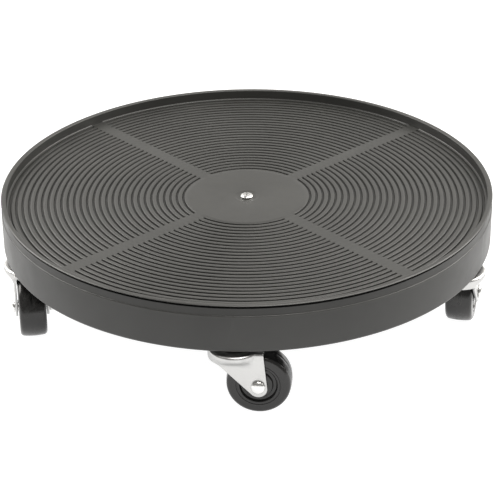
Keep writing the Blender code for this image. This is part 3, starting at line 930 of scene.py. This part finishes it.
class ForkSheet:
    """The fork's outer surface, as a sheet of columns around the crown and rows from the stem hole down."""

    def __init__(self, caster):
        self.caster = caster
        self.leg = LEG_INNER + caster.sheet
        self.radius = caster.crown_radius
        self.meet = math.asin(self.leg / self.radius)
        self.half_columns = FORK_END_COLUMNS + FORK_SIDE_COLUMNS + FORK_FRONT_COLUMNS
        self.columns = 2 * self.half_columns + FORK_TAIL_COLUMNS
        self.rows = FORK_CROWN_ROWS + FORK_BEND_ROWS + FORK_LEG_ROWS
        self.low_outline = self.leg_outline()

    def leg_outline(self):
        """Points along a leg's lower edge, from its trailing edge round its end and up to the lip."""
        caster = self.caster
        tip = (TRAIL, AXLE_HEIGHT - caster.leg_drop)
        slope = math.degrees(caster.leg_slope)
        round_end = arc(tip, caster.leg_end, 0, -90 - slope, 24)
        start = round_end[-1]
        lip_under = CROWN_TOP - caster.lip
        rise = lip_under - KNEE_RISE - start[1]
        knee = (start[0] - rise / math.tan(caster.leg_slope), lip_under - KNEE_RISE)
        corner = (knee[0] - KNEE_REACH, lip_under)
        end = (-self.radius * math.cos(self.meet), lip_under)
        straight = [between(start, knee, i / 12) for i in range(1, 13)]
        return round_end + straight + bowed(knee, corner, end, 8)

    def along(self, share):
        """The point at a share of the lower edge's length."""
        pairs = list(zip(self.low_outline, self.low_outline[1:]))
        left = share * sum(math.dist(a, b) for a, b in pairs)
        for a, b in pairs:
            stretch = math.dist(a, b)
            if left <= stretch:
                return between(a, b, left / stretch)
            left -= stretch
        return self.low_outline[-1]

    def side_y(self, x, depth):
        """Half the fork's width at a place along it, bulging to the round crown near the top."""
        circle = math.sqrt(max(0.0, self.radius**2 - x * x))
        bulge = max(0.0, circle - self.leg)
        return self.leg + bulge * (1 - soft_step((depth - BULGE_START) / BULGE_DEPTH))

    def half_column(self, index):
        """(top x, top y, lower x, lower z) of one column on the +Y half, from the tail to the front."""
        leg_columns = FORK_END_COLUMNS + FORK_SIDE_COLUMNS
        if index <= leg_columns:
            low_x, low_z = self.along(index / leg_columns)
        if index <= FORK_END_COLUMNS:
            corner = self.radius * math.cos(self.meet)
            top_x = self.caster.crown_tail + (corner - self.caster.crown_tail) * index / FORK_END_COLUMNS
            return top_x, self.leg, low_x, low_z
        if index <= leg_columns:
            share = (index - FORK_END_COLUMNS) / FORK_SIDE_COLUMNS
            turn = self.meet + (math.pi - 2 * self.meet) * share
            return self.radius * math.cos(turn), self.radius * math.sin(turn), low_x, low_z
        share = (index - leg_columns) / FORK_FRONT_COLUMNS
        turn = math.pi - self.meet * (1 - share)
        x, y = self.radius * math.cos(turn), self.radius * math.sin(turn)
        return x, y, x, CROWN_TOP - self.caster.lip

    def column(self, index):
        """The column's half index, and +1 or -1 for its side, or None on the crown's straight end."""
        if index <= self.half_columns:
            return index, 1
        if index <= 2 * self.half_columns:
            return 2 * self.half_columns - index, -1
        return None, index - 2 * self.half_columns

    def edge_point(self, index):
        """Where a column crosses the crown's edge, seen from above."""
        half, side = self.column(index)
        if half is None:
            share = side / FORK_TAIL_COLUMNS
            return Vector((self.caster.crown_tail, self.leg * (2 * share - 1)))
        x, y, _, _ = self.half_column(half)
        return Vector((x, y * side))

    def outward(self, index):
        """The direction out from the crown's edge, seen from above."""
        half, side = self.column(index)
        if half is None:
            return Vector((1.0, 0.0))
        x, y, _, _ = self.half_column(half)
        blend = soft_step((FORK_END_COLUMNS + 2 - half) / 4)
        radial = Vector((x, y * side)).normalized()
        return (radial * (1 - blend) + Vector((0.0, side)) * blend).normalized()

    def point(self, index, row):
        """The place of one point of the sheet."""
        bend = self.caster.bend
        edge = self.edge_point(index)
        half, side = self.column(index)
        if half is None:
            bend = 0.2 * MM
        inset = edge - self.outward(index) * bend
        if row <= FORK_CROWN_ROWS:
            share = row / FORK_CROWN_ROWS
            hole = edge.normalized() * (STEM_RADIUS + 0.5 * MM)
            flat = hole.lerp(inset, share)
            return Vector((flat.x, flat.y, CROWN_TOP))
        if row <= FORK_CROWN_ROWS + FORK_BEND_ROWS or half is None:
            turn = math.pi / 2 * (row - FORK_CROWN_ROWS) / FORK_BEND_ROWS
            flat = inset + self.outward(index) * bend * math.sin(turn)
            return Vector((flat.x, flat.y, CROWN_TOP - bend * (1 - math.cos(turn))))
        share = (row - FORK_CROWN_ROWS - FORK_BEND_ROWS) / FORK_LEG_ROWS
        return self.wall_point(half, side, share**1.25, bend)

    def wall_point(self, half, side, share, bend):
        """A place on a leg, or on the turned-down front, at a share of its depth."""
        top_x, top_y, low_x, low_z = self.half_column(half)
        top_z = CROWN_TOP - bend
        z = top_z + (low_z - top_z) * share
        if half > FORK_END_COLUMNS + FORK_SIDE_COLUMNS:
            return Vector((top_x, top_y * side, z))
        x = top_x + (low_x - top_x) * share
        y = self.side_y(x, top_z - z) if abs(x) < self.radius * math.cos(self.meet) else self.leg
        return Vector((x, y * side, z))

    def grid_place(self, point):
        """The column and row of a point on the flat grid."""
        return (point.x + 1) / 2 * self.columns, (point.y + 1) / 2 * self.rows

    def shape(self):
        """A flat grid bent to the fork's surface, less what would hang from the crown's straight end."""
        bm = bmesh.new()
        bmesh.ops.create_grid(bm, x_segments=self.columns, y_segments=self.rows, size=1)
        crown = FORK_CROWN_ROWS + FORK_BEND_ROWS
        removed = []
        for face in bm.faces:
            column, row = self.grid_place(face.calc_center_median())
            if column > 2 * self.half_columns and row > crown:
                removed.append(face)
        bmesh.ops.delete(bm, geom=removed, context="FACES")
        for vert in bm.verts:
            column, row = self.grid_place(vert.co)
            vert.co = self.point(round(column) % self.columns, round(row))
        bmesh.ops.remove_doubles(bm, verts=bm.verts, dist=JOINED)
        bmesh.ops.recalc_face_normals(bm, faces=bm.faces)
        return self.thickened(bm)

    def thickened(self, bm):
        """The sheet given its thickness inwards, its edges rounded and its axle hole cut."""
        highest = max(bm.faces, key=lambda face: face.calc_center_median().z)
        if highest.normal.z < 0:
            bmesh.ops.reverse_faces(bm, faces=bm.faces)
        obj = bpy.data.objects.new("fork_sheet", mesh_of("fork_sheet", bm))
        bpy.context.scene.collection.objects.link(obj)
        wall = obj.modifiers.new("wall", "SOLIDIFY")
        wall.thickness = self.caster.sheet
        wall.offset = -1.0
        wall.use_even_offset = True
        edge = obj.modifiers.new("edge", "BEVEL")
        edge.width = 0.3 * MM
        edge.segments = 2
        edge.limit_method = "ANGLE"
        edge.angle_limit = math.radians(60)
        sheet = applied(obj)
        hole = cylinder(AXLE_RADIUS + GAP, -1.5 * self.leg, 1.5 * self.leg, 40)
        return combined("fork", sheet, [upright(hole)], "DIFFERENCE")


class OBJECT_OT_dolly_forks(bpy.types.Operator):
    """Makes the five pressed forks"""

    bl_idname = "object.dolly_forks"
    bl_label = "Forks"

    def execute(self, context):
        sheet = ForkSheet(context.scene.dolly_caster)
        finish = zinc_finish(context.scene.dolly_finish)
        each_caster("fork", sheet.shape, "caster_", finish, 40.0)
        return {"FINISHED"}


def cup_shape():
    """The upper cup: a pressed disc with a rolled flange below it."""
    neck = CUP_RADIUS - 1.0 * MM
    wall = 0.9 * MM
    roll = 0.5 * MM
    flange = CUP_UNDER + 1.2 * MM
    bore = STEM_RADIUS + GAP
    points = [(bore, CUP_TOP)]
    points += arc((neck - roll, CUP_TOP - roll), roll, 90, 0, 4)
    points += [(neck, flange + 0.4 * MM)]
    points += arc((CUP_RADIUS - roll, flange - roll), roll, 90, -90, 8)
    points += [
        (neck - wall + 0.2 * MM, flange - 1.0 * MM),
        (neck - wall, flange - 0.8 * MM),
        (neck - wall, CUP_TOP - wall - 0.3 * MM),
        (neck - wall - 0.3 * MM, CUP_TOP - wall),
        (bore, CUP_TOP - wall),
    ]
    return turned(points, 72)


def balls_shape(caster):
    """The full row of loose balls between the cup and the crown."""
    bm = bmesh.new()
    radius = caster.ball_radius
    count = int(math.tau * BALL_CIRCLE / (BALL_PITCH * radius))
    for index in range(count):
        turn = math.tau * index / count
        place = Vector((math.cos(turn) * BALL_CIRCLE, math.sin(turn) * BALL_CIRCLE, BALL_HEIGHT))
        bmesh.ops.create_icosphere(bm, subdivisions=2, radius=radius, matrix=Matrix.Translation(place))
    return bm


def thrust_washer_shape():
    return tube(STEM_RADIUS + GAP, half_width("thrust_washer_1"), WASHER_UNDER, WASHER_TOP, 48)


class OBJECT_OT_dolly_bearings(bpy.types.Operator):
    """Makes the cups, the rows of balls and the washers that each fork turns on"""

    bl_idname = "object.dolly_bearings"
    bl_label = "Swivel bearings"

    def execute(self, context):
        finish = context.scene.dolly_finish
        balls = partial(balls_shape, context.scene.dolly_caster)
        each_caster("top_cup", cup_shape, "deck", cup_finish(finish))
        each_caster("ball_ring", balls, "caster_", ball_finish(finish), 60.0)
        each_caster("thrust_washer", thrust_washer_shape, "deck", steel_finish(finish))
        return {"FINISHED"}


def stem_shape():
    """The stem, from its riveted end below the fork to its chamfered tip in the boss."""
    rivet = STEM_RADIUS + 1.6 * MM
    rivet_top = WASHER_UNDER - GAP
    rivet_edge = 1.3 * MM
    flange = STEM_RADIUS + 3.9 * MM
    flange_top = CUP_TOP - CUP_THICKNESS - GAP
    flange_under = flange_top - 1.3 * MM
    points = [(0, STEM_UNDER + 0.5 * MM), (1.4 * MM, STEM_UNDER + 0.4 * MM), (2.0 * MM, STEM_UNDER)]
    points += arc((rivet - rivet_edge, rivet_top), rivet_edge, -90, 0, 6)
    points += [
        (STEM_RADIUS, rivet_top),
        (STEM_RADIUS, flange_under),
        (flange, flange_under),
        (flange, flange_top),
        (STEM_RADIUS, flange_top),
    ]
    points += thread_points(STEM_RADIUS, INSERT_TOP - 17.0 * MM, STEM_TOP - 1.0 * MM, 1.25 * MM)
    points += [(STEM_RADIUS - 0.8 * MM, STEM_TOP), (0, STEM_TOP)]
    return turned(points, 48, closed=False)


def thread_points(radius, start, end, pitch):
    """Ridges along a threaded length, as (radius, height) points."""
    depth = 0.5 * pitch
    points = []
    for index in range(int((end - start) / pitch)):
        height = start + index * pitch
        points += [(radius - depth, height + 0.1 * pitch), (radius, height + 0.5 * pitch)]
        points += [(radius, height + 0.6 * pitch), (radius - depth, height + pitch)]
    return points


class OBJECT_OT_dolly_stems(bpy.types.Operator):
    """Makes the five stems and finishes the brass inserts that they screw into"""

    bl_idname = "object.dolly_stems"
    bl_label = "Stems and inserts"

    def execute(self, context):
        finish = context.scene.dolly_finish
        each_caster("stem", stem_shape, "deck", steel_finish(finish))
        brass = brass_finish(finish)
        for number in CASTER_NUMBERS:
            insert = frame["nodes"]["threaded_insert_" + number].data
            insert.materials.clear()
            insert.materials.append(brass)
        return {"FINISHED"}


def bolt_seat(caster):
    """From the wheel's middle to where the bolt's head and its nut bear on the legs."""
    return LEG_INNER + caster.sheet + GAP


def bolt_shape(caster):
    """The axle bolt: a domed head, a shank and a threaded end."""
    seat = bolt_seat(caster)
    end = -(seat + NUT_HEIGHT + 1.0 * MM)
    points = [(0, end), (AXLE_RADIUS - 0.6 * MM, end)]
    points += thread_points(AXLE_RADIUS, end + 0.5 * MM, -seat - 0.5 * MM, 1.0 * MM)
    points += [(AXLE_RADIUS, -seat), (AXLE_RADIUS, seat), (HEAD_RADIUS - 0.15 * MM, seat)]
    points += dome(HEAD_RADIUS, seat + 0.7 * MM, seat + HEAD_HEIGHT, 10)
    return upright(turned(points, 48, closed=False))


def axle_nut_shape(caster):
    seat = bolt_seat(caster)
    return upright(nut_shape(NUT_ACROSS, -seat - NUT_HEIGHT, -seat, AXLE_RADIUS + GAP))


def sleeve_shape():
    half = LEG_INNER - GAP
    return upright(tube(AXLE_RADIUS + GAP, SLEEVE_RADIUS, -half, half, 40))


class OBJECT_OT_dolly_axles(bpy.types.Operator):
    """Makes the axle bolts, their nuts and the sleeves that the wheels turn on"""

    bl_idname = "object.dolly_axles"
    bl_label = "Axles"

    def execute(self, context):
        caster = context.scene.dolly_caster
        steel = steel_finish(context.scene.dolly_finish)
        each_caster("axle_bolt", partial(bolt_shape, caster), "caster_", steel)
        each_caster("axle_nut", partial(axle_nut_shape, caster), "caster_", steel)
        each_caster("axle_sleeve", sleeve_shape, "caster_", steel)
        return {"FINISHED"}


# ---------------------------------------------------------------- stage


WARM_WHITE = (1.0, 0.975, 0.94)


def area_light(name, place, target, size, power):
    light = bpy.data.lights.new(name, "AREA")
    light.shape = "RECTANGLE"
    light.size, light.size_y = size
    light.energy = power
    light.color = WARM_WHITE
    obj = bpy.data.objects.new(name, light)
    obj.location = place
    obj.rotation_euler = (Vector(target) - Vector(place)).to_track_quat("-Z", "Y").to_euler()
    bpy.context.scene.collection.objects.link(obj)


def aim_camera(stage):
    """A camera turned about the middle of the load face, then about its own axes."""
    camera = bpy.data.objects.new("camera", bpy.data.cameras.new("camera"))
    camera.data.lens = stage.lens
    camera.data.sensor_width = 36.0
    camera.data.clip_end = 50.0
    orbit = Matrix.Rotation(stage.azimuth, 4, "Z") @ Matrix.Rotation(math.pi / 2 - stage.elevation, 4, "X")
    own = Matrix.Rotation(-stage.turn, 4, "Y") @ Matrix.Rotation(-stage.tilt, 4, "X")
    away = orbit @ Vector((0, 0, stage.distance))
    middle = Vector((0, 0, LOAD_FACE))
    roll = Matrix.Rotation(stage.roll, 4, "Z")
    camera.matrix_world = Matrix.Translation(middle + away) @ orbit @ own @ roll
    bpy.context.scene.collection.objects.link(camera)
    bpy.context.scene.camera = camera


class OBJECT_OT_dolly_stage(bpy.types.Operator):
    """Makes the floor, the lights and the camera"""

    bl_idname = "object.dolly_stage"
    bl_label = "Stage"

    def execute(self, context):
        stage = context.scene.dolly_stage
        bm = bmesh.new()
        bmesh.ops.create_grid(bm, x_segments=4, y_segments=4, size=8.0)
        floor = bpy.data.objects.new("floor", mesh_of("floor", bm))
        floor.data.materials.append(floor_finish(context.scene.dolly_finish, stage))
        context.scene.collection.objects.link(floor)
        world = bpy.data.worlds.new("studio")
        world.use_nodes = True
        surround = world.node_tree.nodes["Background"]
        surround.inputs["Color"].default_value = (*WARM_WHITE, 1.0)
        surround.inputs["Strength"].default_value = stage.surround
        context.scene.world = world
        area_light("back_softbox", (0, 2.5, 1.4), (0, 0, 0.4), (5.0, 3.0), stage.back_power)
        area_light("left_panel", (-1.15, 0.45, 0.9), (-0.55, 0.3, 0), (1.2, 1.2), stage.side_power)
        area_light("right_panel", (1.15, 0.45, 0.9), (0.55, 0.3, 0), (1.2, 1.2), stage.side_power)
        area_light("key_softbox", (0.3, -0.3, 1.25), (0.1, -0.2, 0), (1.2, 0.6), stage.key_power)
        aim_camera(stage)
        context.scene.view_settings.view_transform = "Standard"
        return {"FINISHED"}


OPERATORS = (
    OBJECT_OT_dolly_deck,
    OBJECT_OT_dolly_centre_screw,
    OBJECT_OT_dolly_wheels,
    OBJECT_OT_dolly_forks,
    OBJECT_OT_dolly_bearings,
    OBJECT_OT_dolly_stems,
    OBJECT_OT_dolly_axles,
    OBJECT_OT_dolly_stage,
)


class VIEW3D_PT_dolly(bpy.types.Panel):
    """Lists the pieces that can be made and their settings"""

    bl_label = "Platform dolly"
    bl_space_type = "VIEW_3D"
    bl_region_type = "UI"
    bl_category = "Dolly"

    def draw(self, context):
        for operator in OPERATORS:
            self.layout.operator(operator.bl_idname)
        for name, group in SETTINGS.items():
            box = self.layout.box()
            box.label(text=name.replace("_", " "))
            for prop in group.__annotations__:
                box.prop(getattr(context.scene, name), prop)


def register():
    for group in (*SETTINGS.values(), *OPERATORS, VIEW3D_PT_dolly):
        bpy.utils.register_class(group)
    for name, group in SETTINGS.items():
        setattr(bpy.types.Scene, name, PointerProperty(type=group))


def unregister():
    for name in SETTINGS:
        delattr(bpy.types.Scene, name)
    for group in reversed((*SETTINGS.values(), *OPERATORS, VIEW3D_PT_dolly)):
        bpy.utils.unregister_class(group)


def main():
    register()
    for operator in OPERATORS:
        getattr(bpy.ops.object, operator.bl_idname.split(".")[1])()


if __name__ == "__main__":
    main()
